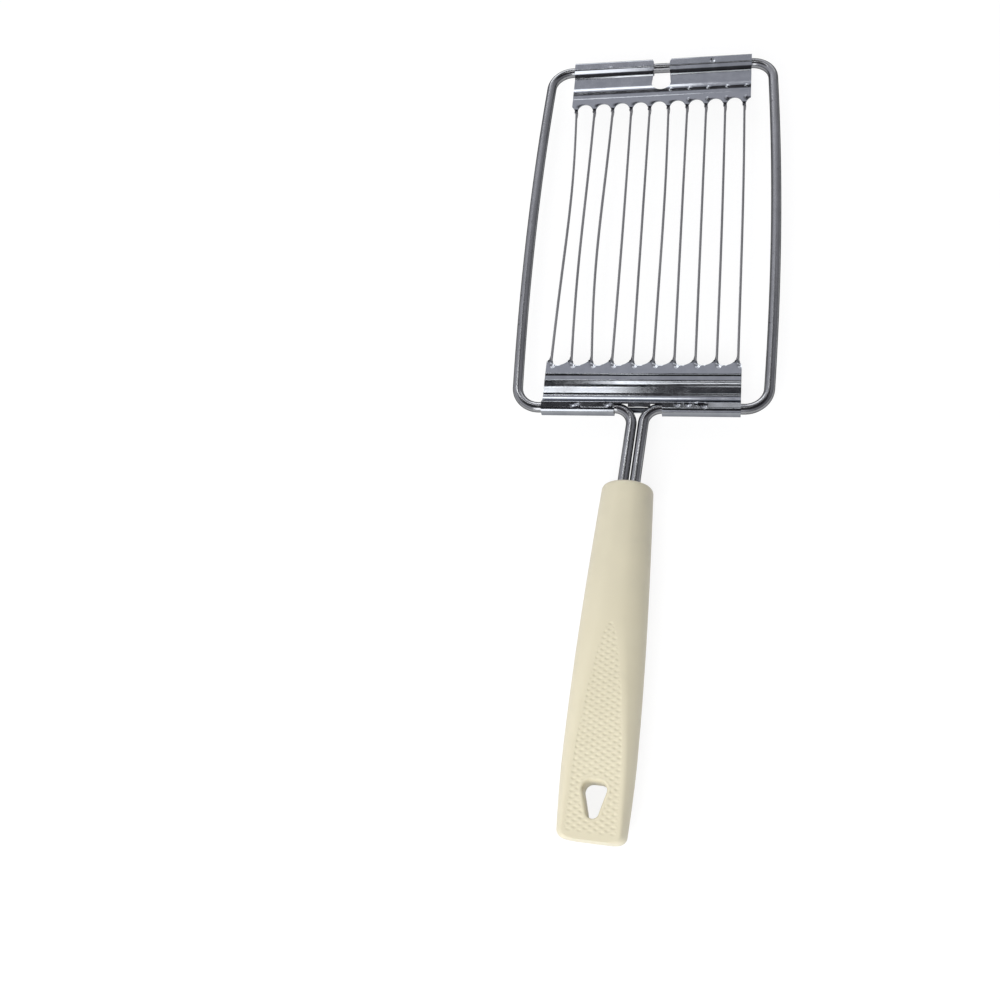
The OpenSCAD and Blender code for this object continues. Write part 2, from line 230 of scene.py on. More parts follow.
def solid(name, points, faces):
    """A mesh object in the model's place, with its normals outward."""
    mesh = bpy.data.meshes.new(name)
    mesh.from_pydata([tuple(p) for p in (np.asarray(points) + SHIFT) * MM], [], faces)
    bm = bmesh.new()
    bm.from_mesh(mesh)
    bmesh.ops.recalc_face_normals(bm, faces=bm.faces)
    bm.to_mesh(mesh)
    bm.free()
    obj = bpy.data.objects.new(name, mesh)
    scene.collection.objects.link(obj)
    return obj


def smooth(obj, sharp):
    """Smooth shading, apart from edges that turn by more than an angle."""
    obj.data.shade_smooth()
    obj.data.set_sharp_from_angle(angle=math.radians(sharp))


def piece(name, shape, node, slot, sharp):
    """A piece that stands for a CAD node, with its material."""
    obj = solid(name, *shape)
    smooth(obj, sharp)
    obj.data.materials.append(finish_of[slot])
    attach(obj, "root")
    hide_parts(node)
    return obj


def cut(obj, shapes, sharp):
    """Takes closed shapes out of a piece."""
    for shape in shapes:
        tool = solid("cutter", *shape)
        mod = obj.modifiers.new("cut", "BOOLEAN")
        mod.operation = "DIFFERENCE"
        mod.solver = "EXACT"
        mod.object = tool
        bpy.context.view_layer.update()
        result = obj.evaluated_get(bpy.context.evaluated_depsgraph_get())
        cut_mesh = bpy.data.meshes.new_from_object(result)
        obj.modifiers.clear()
        obj.data = cut_mesh
        bpy.data.objects.remove(tool)
    smooth(obj, sharp)


# Shader helpers


def add_ramp(tree, source, stops):
    """A colour ramp with stops (place, level or colour)."""
    node = tree.nodes.new("ShaderNodeValToRGB")
    elements = node.color_ramp.elements
    while len(elements) < len(stops):
        elements.new(0.5)
    for element, (place, colour) in zip(elements, stops):
        element.position = place
        element.color = (*colour, 1.0) if isinstance(colour, tuple) else (colour, colour, colour, 1.0)
    tree.links.new(source, node.inputs["Fac"])
    return node.outputs["Color"]


def add_mix(tree, fac, a, b, mode="MIX"):
    """A colour mix, where each input is a number, a colour or another node's output."""
    node = tree.nodes.new("ShaderNodeMix")
    node.data_type = "RGBA"
    node.blend_type = mode
    for value, socket in ((fac, node.inputs[0]), (a, node.inputs[6]), (b, node.inputs[7])):
        if isinstance(value, float):
            socket.default_value = value
        elif isinstance(value, tuple):
            socket.default_value = (*value, 1.0)
        else:
            tree.links.new(value, socket)
    return node.outputs[2]


class Shader:
    """A principled material and short calls that add nodes to it."""

    def __init__(self, name):
        self.mat = bpy.data.materials.new(name)
        self.mat.use_nodes = True
        self.tree = self.mat.node_tree
        self.tree.nodes.clear()
        self.out = self.add("ShaderNodeOutputMaterial")
        self.bsdf = self.add("ShaderNodeBsdfPrincipled")
        self.link(self.bsdf.outputs["BSDF"], self.out.inputs["Surface"])
        self.coords = self.add("ShaderNodeTexCoord").outputs["Object"]

    def add(self, kind):
        return self.tree.nodes.new(kind)

    def link(self, a, b):
        self.tree.links.new(a, b)

    def set(self, **values):
        for key, value in values.items():
            self.bsdf.inputs[key.replace("_", " ")].default_value = value

    def feed(self, **outputs):
        for key, value in outputs.items():
            self.link(value, self.bsdf.inputs[key.replace("_", " ")])

    def scaled(self, factors):
        node = self.add("ShaderNodeMapping")
        node.inputs["Scale"].default_value = factors
        self.link(self.coords, node.inputs["Vector"])
        return node.outputs["Vector"]

    def noise(self, scale, detail, rough, vector=None):
        node = self.add("ShaderNodeTexNoise")
        node.inputs["Scale"].default_value = scale
        node.inputs["Detail"].default_value = detail
        node.inputs["Roughness"].default_value = rough
        self.link(vector or self.coords, node.inputs["Vector"])
        return node.outputs["Fac"]

    def ramp(self, fac, stops):
        return add_ramp(self.tree, fac, stops)

    def mix(self, fac, a, b, mode="MIX"):
        return add_mix(self.tree, fac, a, b, mode)

    def calc(self, operation, a, b):
        """Arithmetic held between 0 and 1, where each input is a number or another node's output."""
        node = self.add("ShaderNodeMath")
        node.operation = operation
        node.use_clamp = True
        for value, socket in ((a, node.inputs[0]), (b, node.inputs[1])):
            if isinstance(value, float):
                socket.default_value = value
            else:
                self.link(value, socket)
        return node.outputs[0]

    def bump(self, height, strength, distance):
        node = self.add("ShaderNodeBump")
        node.inputs["Strength"].default_value = strength
        node.inputs["Distance"].default_value = distance
        self.link(height, node.inputs["Height"])
        return node.outputs["Normal"]


# Materials


def wire_material():
    s = Shader("chromed_wire")
    s.set(Metallic=1.0, Specular_Tint=(0.02, 0.02, 0.02, 1.0))
    pits = s.noise(scale=1100.0, detail=3.0, rough=0.6)
    haze = s.noise(scale=90.0, detail=5.0, rough=0.6)
    bright, hazy, pitted = (0.31, 0.315, 0.325), (0.24, 0.243, 0.25), (0.08, 0.08, 0.08)
    dull = s.mix(s.ramp(haze, [(0.35, 0.0), (0.75, 1.0)]), bright, hazy)
    s.feed(
        Base_Color=s.mix(s.ramp(pits, [(0.64, 0.0), (0.74, 1.0)]), dull, pitted),
        Roughness=s.ramp(haze, [(0.3, 0.15), (0.7, 0.26)]),
        Normal=s.bump(pits, strength=0.2, distance=0.00006),
    )
    return s.mat


def rail_material():
    s = Shader("rail_steel")
    s.set(Metallic=1.0, Specular_Tint=(0.35, 0.36, 0.38, 1.0))
    waves = s.noise(scale=60.0, detail=2.0, rough=0.5, vector=s.scaled((0.5, 1.0, 1.0)))
    haze = s.noise(scale=240.0, detail=4.0, rough=0.6)
    s.feed(
        Base_Color=s.ramp(haze, [(0.35, (0.265, 0.278, 0.30)), (0.7, (0.31, 0.323, 0.345))]),
        Roughness=s.ramp(haze, [(0.3, 0.09), (0.7, 0.17)]),
        Normal=s.bump(waves, strength=0.12, distance=0.0003),
    )
    return s.mat


def blade_material():
    s = Shader("blade_steel")
    s.set(Metallic=1.0, Specular_Tint=(0.3, 0.3, 0.31, 1.0))
    grain = s.noise(scale=500.0, detail=3.0, rough=0.6, vector=s.scaled((1.0, 0.1, 1.0)))
    s.feed(
        Base_Color=s.ramp(grain, [(0.3, (0.29, 0.29, 0.30)), (0.7, (0.38, 0.38, 0.39))]),
        Roughness=s.ramp(grain, [(0.3, 0.24), (0.7, 0.38)]),
        Normal=s.bump(grain, strength=0.2, distance=0.00004),
    )
    return s.mat


def plastic_material():
    """Cream plastic with a few smudges, and painted shade that darkens it toward the mouth, mottled by
    the smudge noise.
    """
    s = Shader("cream_plastic")
    # Painted shade: the first colour darkens the plastic toward the mouth; the second is for the
    # smudges.
    mouth_shade_colour, smudge_colour = (0.60, 0.56, 0.42), (0.56, 0.52, 0.40)
    shade_from_y, shade_to_y = -0.09, -0.04
    blotch = s.noise(scale=30.0, detail=4.0, rough=0.55)
    smudge = s.noise(scale=75.0, detail=3.0, rough=0.5)
    fine = s.noise(scale=800.0, detail=3.0, rough=0.6)
    base = s.ramp(blotch, [(0.3, (0.685, 0.63, 0.455)), (0.7, (0.735, 0.68, 0.50))])
    split = s.add("ShaderNodeSeparateXYZ")
    s.link(s.coords, split.inputs[0])
    toward_mouth = s.add("ShaderNodeMapRange")
    toward_mouth.inputs["From Min"].default_value = shade_from_y
    toward_mouth.inputs["From Max"].default_value = shade_to_y
    s.link(split.outputs["Y"], toward_mouth.inputs["Value"])
    # Painted shade that grows from the heel end toward the mouth, mottled by the smudge noise.
    mouth_shade = s.ramp(toward_mouth.outputs["Result"], [(0.0, 0.0), (1.0, 0.8)])
    mottled_shade = s.mix(1.0, mouth_shade, s.ramp(smudge, [(0.3, 0.5), (0.7, 1.0)]), "MULTIPLY")
    shaded_base = s.mix(mottled_shade, base, mouth_shade_colour)
    s.feed(
        Base_Color=s.mix(s.ramp(smudge, [(0.62, 0.0), (0.8, 0.35)]), shaded_base, smudge_colour),
        Roughness=s.ramp(fine, [(0.3, 0.36), (0.7, 0.5)]),
        Normal=s.bump(fine, strength=0.12, distance=0.00008),
    )
    return s.mat


finish_of = {
    "chromed_wire": wire_material(),
    "rail_steel": rail_material(),
    "blade_steel": blade_material(),
    "cream_plastic": plastic_material(),
}


# Frame wire: one round wire swept along the frame, its ends side by side in the handle


def bend(x, y, r, a0, a1, steps, first=0, turn=0.0):
    """Points of a bend, each with the direction from the wire's middle to its outer side."""
    k = np.arange(first, steps + 1)
    a = np.radians(a0 + (a1 - a0) * k / steps)
    return np.stack([x + r * np.cos(a), y + r * np.sin(a), a + math.radians(turn)], axis=1)


def neck_bend_x(lean):
    """Where the bend from the bottom bar into a leg starts, for a neck that leans."""
    n = math.radians(lean)
    return (LEG_PITCH / 2 + NECK_R * (1 - math.sin(n))) / math.cos(n)


def half_path(neck, lean):
    """The right half of the wire, from its end of the top bar to the end of its leg."""
    side_a = 2 * math.degrees(math.atan2(2 * SIDE_BOW, FRAME_H - 2 * CORNER_R))
    sin_a, cos_a = math.sin(math.radians(side_a)), math.cos(math.radians(side_a))
    side_r = (FRAME_H - 2 * CORNER_R * (1 - sin_a)) / (2 * sin_a)
    frame_w = 2 * (HALF_SPAN + BAR_OVER + CORNER_R)
    bar_half = frame_w / 2 - CORNER_R * cos_a
    side_x = frame_w / 2 - side_r * cos_a
    n, h = math.radians(neck), math.radians(lean)

    def leg(reach):
        return np.array([[
            LEG_PITCH / 2 * math.cos(h) - NECK_LEN * math.sin(n) - reach * math.sin(h),
            -LEG_PITCH / 2 * math.sin(h) - NECK_LEN * math.cos(n) - reach * math.cos(h), -h]])

    return np.concatenate([
        bend(bar_half, FRAME_H - CORNER_R, CORNER_R, 90, side_a, BEND_STEPS),
        bend(side_x, FRAME_H / 2, side_r, side_a, -side_a, SIDE_STEPS, first=1),
        bend(bar_half, CORNER_R, CORNER_R, -side_a, -90, BEND_STEPS, first=1),
        bend(neck_bend_x(neck), -NECK_R, NECK_R, 90, 180 - neck, BEND_STEPS, turn=180),
        leg(0.0), leg(LEG_GRIP),
    ])


def make_wire():
    left = half_path(-NECK_LEAN, -HANDLE_LEAN)
    left = np.stack([-left[:, 0], left[:, 1], math.pi - left[:, 2]], axis=1)[::-1]
    path = np.concatenate([left, half_path(NECK_LEAN, HANDLE_LEAN)])
    a = 2 * np.pi * np.arange(WIRE_POINTS) / WIRE_POINTS
    out = WIRE_R * np.cos(a)
    rings = np.stack([
        path[:, :1] + out * np.cos(path[:, 2:]),
        path[:, 1:2] + out * np.sin(path[:, 2:]),
        np.broadcast_to(WIRE_R * np.sin(a), (len(path), len(a))),
    ], axis=2)
    piece("wire", tube(rings), "frame_wire", "chromed_wire", WIRE_SHARP)


# Blades: strips that turn nearly a quarter from their flat feet, sooner at the lower rail


def make_blade(i):
    """One blade, where s is the share of its turn, and p and q run across its depth and thickness."""
    foot_u = TIP_U - FOOT_LEN
    (low0, low1), (up0, up1) = TWIST_LOWER, TWIST_UPPER
    lower = np.concatenate([[foot_u], np.linspace(low0, low1, TWIST_POINTS)])
    upper = FRAME_H - np.concatenate([[foot_u], np.linspace(up0, up1, TWIST_POINTS)])[::-1]
    ys = np.concatenate([lower, np.linspace(low1, FRAME_H - up1, SPAN_POINTS)[1:-1], upper])
    s = np.minimum(ease((ys - low0) / (low1 - low0)), ease((FRAME_H - ys - up0) / (up1 - up0)))
    turn = s * math.radians(90 - BLADE_TILT - BLADE_TILT_STEP * i)
    t = np.clip((ys - TIP_U) / (FRAME_H - 2 * TIP_U), 0, 1)
    x = blade_x(i) + BLADE_BOW[i] * np.sin(np.pi * t) - BLADE_SWAY[i] * np.sin(2 * np.pi * t)
    axis_w = AXIS_W - LOWER_SINK - (UPPER_SINK - LOWER_SINK) * t
    edge = FOOT_EDGE + (EDGE_T - FOOT_EDGE) * s
    spine = (FOOT_W + (BLADE_D - FOOT_W) * s * s) / 2
    bevel = 2 * spine * GRIND_D / BLADE_D - spine
    half = np.full_like(s, BLADE_T / 2)
    soft = SPINE_SOFT
    p = np.stack([-spine, bevel, spine - soft, spine, spine, spine - soft, bevel, -spine], axis=1)
    q = np.stack([edge / 2, half, half, half - soft, soft - half, -half, -half, -edge / 2], axis=1)
    c, d = np.cos(turn)[:, None], np.sin(turn)[:, None]
    rings = np.stack([
        x[:, None] + p * c + q * d,
        np.broadcast_to(ys[:, None], p.shape),
        axis_w[:, None] - p * d + q * c,
    ], axis=2)
    piece(f"strip_{i + 1:02d}", tube(rings), f"blade_{i + 1:02d}", "blade_steel", BLADE_SHARP)


# Rails: one sheet rolled round the bar, with a bead and a scalloped lip.
# Pressings are bumps (x, u, height, radius), height below zero for dents.

UPPER_PRESSINGS = (
    [(-17.5, -0.2, -0.05, 1.0), (17.5, -0.2, -0.35, 1.0)]
    + [(blade_x(i) + 0.5, CROWN_U - 0.1, 0.12, 0.8) for i in range(6, BLADES)]
    + [(blade_x(i) + 0.8, UPPER_PLATE + 2.9, 0.2, 0.75) for i in range(5, BLADES)])
LOWER_PRESSINGS = (
    [(-20.0, 0.1, -0.3, 1.0), (-18.3, -0.5, 0.16, 0.9), (-9.6, 0.2, -0.3, 1.0), (-8.5, -0.4, 0.12, 0.8)]
    + [(11.2, 0.3, -0.25, 1.0), (14.4, 0.3, -0.3, 1.0), (19.0, -0.1, -0.3, 1.1), (17.3, 0.6, 0.2, 1.0)]
    + [(blade_x(i) + 0.75, TIP_U - 2.1, -0.3, 1.0) for i in range(BLADES)])


def arc_points(u, w, r, a0, a1, steps, first=0):
    a = np.radians(np.linspace(a0, a1, steps + 1)[first:])
    return np.stack([u + r * np.cos(a), w + r * np.sin(a)], axis=1)


def line_points(u0, w0, u1, w1, steps):
    """Points between the ends of a straight, without the ends."""
    t = np.linspace(0, 1, steps + 1)[1:-1]
    return np.stack([u0 + (u1 - u0) * t, w0 + (w1 - w0) * t], axis=1)


def hem_runs(room, corner, shoulder_r, fillet, tilt, dip, crease):
    """Middle of the sheet round the bar, from its free edge to the plate.

    A run is a stretch of points (u, w), after the number of steps in the straight that leads to it.
    """
    front_a, slope_a = 90 + tilt, 90 - HEM_SLOPE
    front, slope = math.radians(front_a), math.radians(slope_a)
    corner_d, curl_d = HEM_R - corner, HEM_R - HEM_CURL
    back_u = -(corner_d + room)
    back_w = (corner_d - back_u * math.cos(front)) / math.sin(front)
    shoulder = (front + slope) / 2
    shoulder_d = (HEM_R - shoulder_r) / math.cos(front - shoulder)
    shoulder_u, shoulder_w = shoulder_d * math.cos(shoulder), shoulder_d * math.sin(shoulder)
    fillet_end = 270 + dip - crease - (math.degrees(CREASE_LAND / fillet) if crease else 0.0)
    fillet_w = fillet * math.cos(math.radians(crease))
    fillet_u = (HEM_R + fillet - fillet_w * math.sin(slope)) / math.cos(slope)
    dip_w = -2 * fillet * (1 - math.cos(math.radians(dip)))
    dip_u = fillet_u + 2 * fillet * math.sin(math.radians(dip))
    runs = [
        (0, np.array([[HEM_TAIL, -HEM_R]])),
        (6, arc_points(-curl_d - room, -curl_d, HEM_CURL, 270, 180, 20)),
        (4, arc_points(back_u, back_w, corner, 180, front_a, 14)),
        (10, arc_points(shoulder_u, shoulder_w, shoulder_r, front_a, slope_a, 12)),
        (5, arc_points(fillet_u, fillet_w + dip_w, fillet, 180 + slope_a, fillet_end, 22)),
    ]
    if crease:
        end = arc_points(fillet_u, fillet_w, fillet, 270 - crease, 270 - crease, 0)
        runs.append((0, np.concatenate([end, end + [[CREASE_LAND, 0.0]]])))
    if dip:
        runs.append((0, arc_points(dip_u, -fillet, fillet, 90 + dip, 90, 6, 1)))
    return runs


def upper_runs():
    """Low round bead, with a slight ridge where the lip starts."""
    bead_a = 2 * math.degrees(math.atan2(2 * UPPER_BEAD_H, UPPER_BEAD_W))
    r = UPPER_BEAD_W / 2 / math.sin(math.radians(bead_a))
    foot_r, top_r = UPPER_FOOT_SHARE * r, UPPER_TOP_SHARE * r
    top_u, top_w = UPPER_PLATE + UPPER_BEAD_W / 2, UPPER_BEAD_H - top_r
    end_u = UPPER_PLATE + UPPER_BEAD_W
    return [
        (6, arc_points(UPPER_PLATE, foot_r, foot_r, 270, 270 + bead_a, 12)),
        (0, arc_points(top_u, top_w, top_r, 90 + bead_a, 90 - bead_a, 14, 1)),
        (0, arc_points(end_u, foot_r, foot_r, 270 - bead_a, 270 + LIP_RIDGE, 18, 1)),
    ]


def lower_runs():
    """Bead with a broad near foot and a slow far side, with a step where the lip starts."""
    bead_a = 2 * math.degrees(math.atan2(LOWER_BEAD_H, LOWER_BEAD_W))
    r = LOWER_BEAD_W / math.sin(math.radians(bead_a))
    foot_r, top_r = LOWER_FOOT_SHARE * r, LOWER_TOP_SHARE * r
    top_u, top_w = LOWER_PLATE + LOWER_BEAD_W, LOWER_BEAD_H - top_r
    top = arc_points(top_u, top_w, top_r, 90 + bead_a, 90 - LOWER_FAR_SLOPE, 10, 1)
    step_w = top[-1, 1] - (STEP_U - top[-1, 0]) * math.tan(math.radians(LOWER_FAR_SLOPE))
    step = np.array([[STEP_U, step_w], [STEP_U + STEP_WALL, step_w - STEP_D], [STEP_U + STEP_W, step_w]])
    return [
        (6, arc_points(LOWER_PLATE, foot_r, foot_r, 270, 270 + bead_a, 14)),
        (0, top),
        (3, step[:2]),
        (5, step[2:]),
    ]


def rail_profile(runs):
    """Middle of a rail's sheet as points (u, w), with the straights between its runs filled in."""
    points = [runs[0][1]]
    for steps, run in runs[1:]:
        if steps:
            points.append(line_points(*points[-1][-1], *run[0], steps))
        points.append(run)
    return np.concatenate(points)


def rail_columns(ends, skew):
    """Places along a rail and the edge of the lip there."""
    xs, edges = [], []
    limit = math.acos((SCALLOP_R - TAB_H) / SCALLOP_R)
    tab_half = PITCH / 2 - SCALLOP_R * math.sin(limit)
    for j in range(-1, BLADES):
        for th in np.linspace(-limit, limit, SCALLOP_POINTS):
            xs.append(blade_x(j) + PITCH / 2 + SCALLOP_R * math.sin(th) - skew * math.cos(th) ** 2)
            edges.append(CROWN_U + SCALLOP_R * (1 - math.cos(th)))
        for k in range(1, TAB_STEPS):
            xs.append(blade_x(j + 1) - tab_half + 2 * tab_half * k / TAB_STEPS)
            edges.append(TIP_U)
    xs, edges = np.array(xs), np.array(edges)
    inside = (xs > ends[0] + END_CLEAR) & (xs < ends[1] - END_CLEAR)
    all_x = np.concatenate([[ends[0]], xs[inside], [ends[1]]])
    return all_x, np.interp(all_x, xs, edges)


def rail_sheet(ends, profile, pressings, fall, skew, fold, lift):
    """Front and back of the sheet as grids of (x, u, w), its front pressed where above PRESS_FLOOR."""
    xs, edges = rail_columns(ends, skew)
    lip_u0, lip_w0 = profile[-1]
    lip_rows = np.linspace(0, 1, LIP_STEPS + 1)[1:]
    lip_u = lip_u0 + np.outer(lip_rows, edges - lip_u0)
    u = np.concatenate([np.repeat(profile[:, :1], len(xs), 1), lip_u])
    lip_w = lip_w0 - (lip_u - lip_u0) * math.tan(math.radians(fall))
    w = np.concatenate([np.repeat(profile[:, 1:], len(xs), 1), lip_w])
    x = np.broadcast_to(xs, u.shape)
    nearest = np.clip(np.round(x / PITCH + (BLADES - 1) / 2), 0, BLADES - 1)
    hinge = blade_x(nearest) - FOLD_LEFT
    turn = math.radians(fold) * ease((u - CROWN_U + FOLD_BEFORE) / TAB_H)
    arm = np.maximum(x - hinge, 0) * (u > CROWN_U - FOLD_BEFORE)
    curl = lift * np.clip((u - CROWN_U - CURL_AFTER) / (TAB_H - CURL_AFTER), 0, 1) ** 2
    mid = np.stack([x - arm * (1 - np.cos(turn)), u, w - arm * np.sin(turn) + curl], axis=2)
    normal = np.cross(np.gradient(mid, axis=1), np.gradient(mid, axis=0))
    normal /= np.linalg.norm(normal, axis=2, keepdims=True)
    front, back = mid + normal * SHEET_T / 2, mid - normal * SHEET_T / 2
    rise = np.zeros(u.shape)
    for px, pu, height, radius in pressings:
        d2 = ((x - px) ** 2 + (u - pu) ** 2) / radius ** 2
        rise += np.where(mid[..., 2] > PRESS_FLOOR, height * np.maximum(1 - d2, 0) ** 2, 0.0)
    return front + normal * rise[..., None], back


def sheet_piece(name, node, sheet, flip):
    """A rail from the front and back of its sheet, joined round the rim."""
    front, back = sheet
    rows, cols, _ = front.shape
    n = rows * cols
    faces = grid_faces(rows, cols, False)
    faces += [tuple(i + n for i in f[::-1]) for f in grid_faces(rows, cols, False)]
    rim = list(range(cols))
    rim += [r * cols + cols - 1 for r in range(1, rows)]
    rim += [(rows - 1) * cols + k for k in range(cols - 2, -1, -1)]
    rim += [r * cols for r in range(rows - 2, 0, -1)]
    faces += [(a, a + n, b + n, b) for a, b in zip(rim, rim[1:] + rim[:1])]
    points = np.concatenate([front.reshape(-1, 3), back.reshape(-1, 3)])
    if flip:
        points = points * [1, -1, 1] + [0, FRAME_H, 0]
    return piece(name, (points, faces), node, "rail_steel", RAIL_SHARP)


def make_upper_rail():
    """The far rail, with a notch over the bar that runs into a round-ended hole."""
    profile = rail_profile(hem_runs(**UPPER_HEM) + upper_runs())
    sheet = rail_sheet(UPPER_ENDS, profile, UPPER_PRESSINGS, **UPPER_LIP)
    rail = sheet_piece("rail_far", "upper_rail", sheet, flip=True)
    hole_u = HOLE_REACH - HOLE_W / 2
    far = HEM_OUT_R + UPPER_ROOM + CUT_CLEAR
    outline = [
        (-NOTCH_W / 2 - NOTCH_FLARE, -far), (NOTCH_W / 2 + NOTCH_FLARE, -far),
        (NOTCH_W / 2, -WIRE_R / 2), (NOTCH_W / 2, WIRE_R)]
    for a in np.radians(np.linspace(0, 180, HOLE_POINTS)):
        outline.append((HOLE_W / 2 * math.cos(a), hole_u + HOLE_W / 2 * math.sin(a)))
    outline += [(-NOTCH_W / 2, WIRE_R), (-NOTCH_W / 2, -WIRE_R / 2)]

    def place(x, u, w):
        return x + HOLE_SLIP, FRAME_H - u, w

    cut(rail, [prism(outline, -CUT_REACH, CUT_REACH, place)], RAIL_SHARP)


def make_lower_rail():
    """The near rail, opened in the middle where the two legs leave the bar."""
    profile = rail_profile(hem_runs(**LOWER_HEM) + lower_runs())
    sheet = rail_sheet(LOWER_ENDS, profile, LOWER_PRESSINGS, **LOWER_LIP)
    rail = sheet_piece("rail_near", "lower_rail", sheet, flip=False)
    left, right = -neck_bend_x(-NECK_LEAN), neck_bend_x(NECK_LEAN)
    inner = LEG_PITCH / 2 + WIRE_R
    wall = math.sqrt((WIRE_R + HEM_PLAY) ** 2 - (WIRE_R + HEM_PLAY / 2) ** 2)
    far = HEM_OUT_R + LOWER_ROOM + CUT_CLEAR

    def block(x0, x1, y1, w0):
        outline = [(x0, -far), (x1, -far), (x1, y1), (x0, y1)]
        return prism(outline, w0, CUT_REACH, lambda x, y, w: (x, y, w))

    cut(rail, [
        block(left, right, -wall, -CUT_REACH),
        block(left, -inner, wall, 0.0),
        block(inner, right, wall, 0.0),
    ], RAIL_SHARP)


# Handle: an oval moulding with two flats, a dimpled panel on each flat and a hang hole


def hang_distance(x, v):
    """Distance outside the hang hole's outline, in handle coordinates."""
    best = np.full(np.broadcast(x, v).shape, np.inf)
    for t in np.linspace(0, 1, HANG_SAMPLES):
        r = HANG_R + (HANG_TIP_R - HANG_R) * t
        dx = np.maximum(np.abs(x) - HANG_SIDE * (1 - t), 0)
        best = np.minimum(best, np.hypot(dx, v - HANG_TOP - HANG_LEN * t) - r)
    return best


def rounding(d, r):
    """How far an edge rounded by r has fallen, at a distance d in from its end."""
    d = np.clip(d, 0, r)
    return r - np.sqrt(np.maximum(r * r - (r - d) ** 2, 0))


def signed_power(c, exponent):
    return np.sign(c) * np.abs(c) ** exponent


def handle_rings():
    """Rings of the handle from its mouth to its heel, in handle coordinates."""
    flat_v = FLAT_FROM * HANDLE_LEN
    quarter = np.linspace(0, np.pi / 2, ROUND_POINTS)
    v = np.concatenate([
        MOUTH_R * (1 - np.cos(quarter)),
        np.arange(MOUTH_R + BODY_STEP, flat_v, BODY_STEP),
        np.arange(flat_v, HANDLE_LEN - HEEL_R, PANEL_STEP),
        HANDLE_LEN - HEEL_R * (1 - np.sin(quarter)),
    ])[:, None]
    a = 2 * np.pi * np.arange(RING_POINTS)[None, :] / RING_POINTS

    # the oval section, with its rounded ends and a fine seam along each side
    t = v / HANDLE_LEN
    width = np.where(
        t < BELLY_AT,
        MOUTH_W + (BELLY_W - MOUTH_W) * np.sin(np.pi / 2 * t / BELLY_AT),
        BELLY_W - (BELLY_W - HEEL_W) * (1 - np.cos(np.pi / 2 * (t - BELLY_AT) / (1 - BELLY_AT))))
    inset = rounding(v, MOUTH_R) + rounding(HANDLE_LEN - v, HEEL_R)
    half_w, half_t = width / 2 - inset, HANDLE_T / 2 - inset
    seam = SEAM_D * np.exp(-(np.sin(a) / SEAM_SPREAD) ** 2)
    seam = seam * ease(v / SEAM_START) * ease((HANDLE_LEN - v) / SEAM_END)
    x = (half_w - seam) * signed_power(np.cos(a), 2 / SECTION_POWER)
    z = half_t * signed_power(np.sin(a), 2 / SECTION_POWER)

    # the flats, which slope in towards the heel
    slope = (HANDLE_T - HEEL_T) / 2 / (HANDLE_LEN - flat_v)
    flat_z = HANDLE_T / 2 - np.maximum(v - flat_v, 0) * slope
    height = np.abs(z)
    on_flat = height > flat_z
    blend = np.maximum(FLAT_SOFT - np.abs(height - flat_z), 0) ** 2 / (4 * FLAT_SOFT)
    height = np.minimum(height, flat_z) - blend

    # the panel inside each flat's outline, with a smooth border
    flat_share = np.clip(1 - (np.minimum(flat_z / half_t, 1)) ** SECTION_POWER, 0, 1)
    flat_half = flat_share ** (1 / SECTION_POWER) * half_w
    gap = hang_distance(x, v)
    panel = ease((flat_half - PANEL_SIDE - np.abs(x)) / PANEL_FADE)
    panel = panel * ease((HANDLE_LEN - PANEL_END - v) / PANEL_FADE)
    panel = panel * ease((gap - HANG_BORDER) / HANG_FADE)
    i, j = x / DIMPLE_W, v / DIMPLE_LEN
    ridge_a = 0.5 + 0.5 * np.cos(2 * np.pi * (j - i / 2))
    ridge_b = 0.5 + 0.5 * np.cos(2 * np.pi * (j + i / 2))
    dimple = (ridge_a * ridge_b) ** DIMPLE_POWER
    height = height - np.where(on_flat, panel * DIMPLE_D * dimple, 0.0)
    height = height - np.where(on_flat, rounding(np.maximum(gap, 0), HANG_SOFT), 0.0)
    z = np.sign(np.sin(a)) * height
    return np.stack(np.broadcast_arrays(x, -v, z), axis=2)


def to_model(points):
    """Handle coordinates to those of the bottom bar."""
    a = math.radians(-HANDLE_LEAN)
    points = np.asarray(points, float)
    x, y, z = points[..., 0], points[..., 1], points[..., 2]
    turned_x = x * math.cos(a) - y * math.sin(a)
    turned_y = x * math.sin(a) + y * math.cos(a)
    return np.stack([turned_x, turned_y, z], axis=-1) + MOUTH_AT


def hang_outline():
    """The hang hole's outline: two round corners at its wide end and a round tip."""
    corner = math.degrees(math.asin((HANG_R - HANG_TIP_R) / math.hypot(HANG_SIDE, HANG_LEN)))
    side = corner - math.degrees(math.atan2(HANG_SIDE, HANG_LEN))
    outline = []
    for x, v, r, a0, a1 in (
            (HANG_SIDE, HANG_TOP, HANG_R, side, 90),
            (-HANG_SIDE, HANG_TOP, HANG_R, 90, 180 - side),
            (0, HANG_TOP + HANG_LEN, HANG_TIP_R, 180 - side, 360 + side)):
        for a in np.radians(np.linspace(a0, a1, HANG_POINTS)):
            outline.append((x + r * math.cos(a), -v + r * math.sin(a)))
    return outline


def make_handle():
    handle = piece("grip", tube(to_model(handle_rings())), "handle", "cream_plastic", HANDLE_SHARP)
    shapes = [prism(hang_outline(), -HANG_REACH, HANG_REACH, lambda x, y, w: tuple(to_model((x, y, w))))]
    socket_r = WIRE_R + LEG_PLAY
    turns = 2 * np.pi * np.arange(WIRE_POINTS) / WIRE_POINTS
    for side in (-1, 1):
        circle = [(side * LEG_PITCH / 2 + socket_r * math.cos(a), socket_r * math.sin(a)) for a in turns]
        shapes.append(prism(
            circle, -LEG_GRIP - LEG_PLAY, MOUTH_REACH, lambda x, z, y: tuple(to_model((x, y, z)))))
    cut(handle, shapes, HANDLE_SHARP)


make_wire()
for index in range(BLADES):
    make_blade(index)
make_upper_rail()
make_lower_rail()
make_handle()

# Floor, light and camera


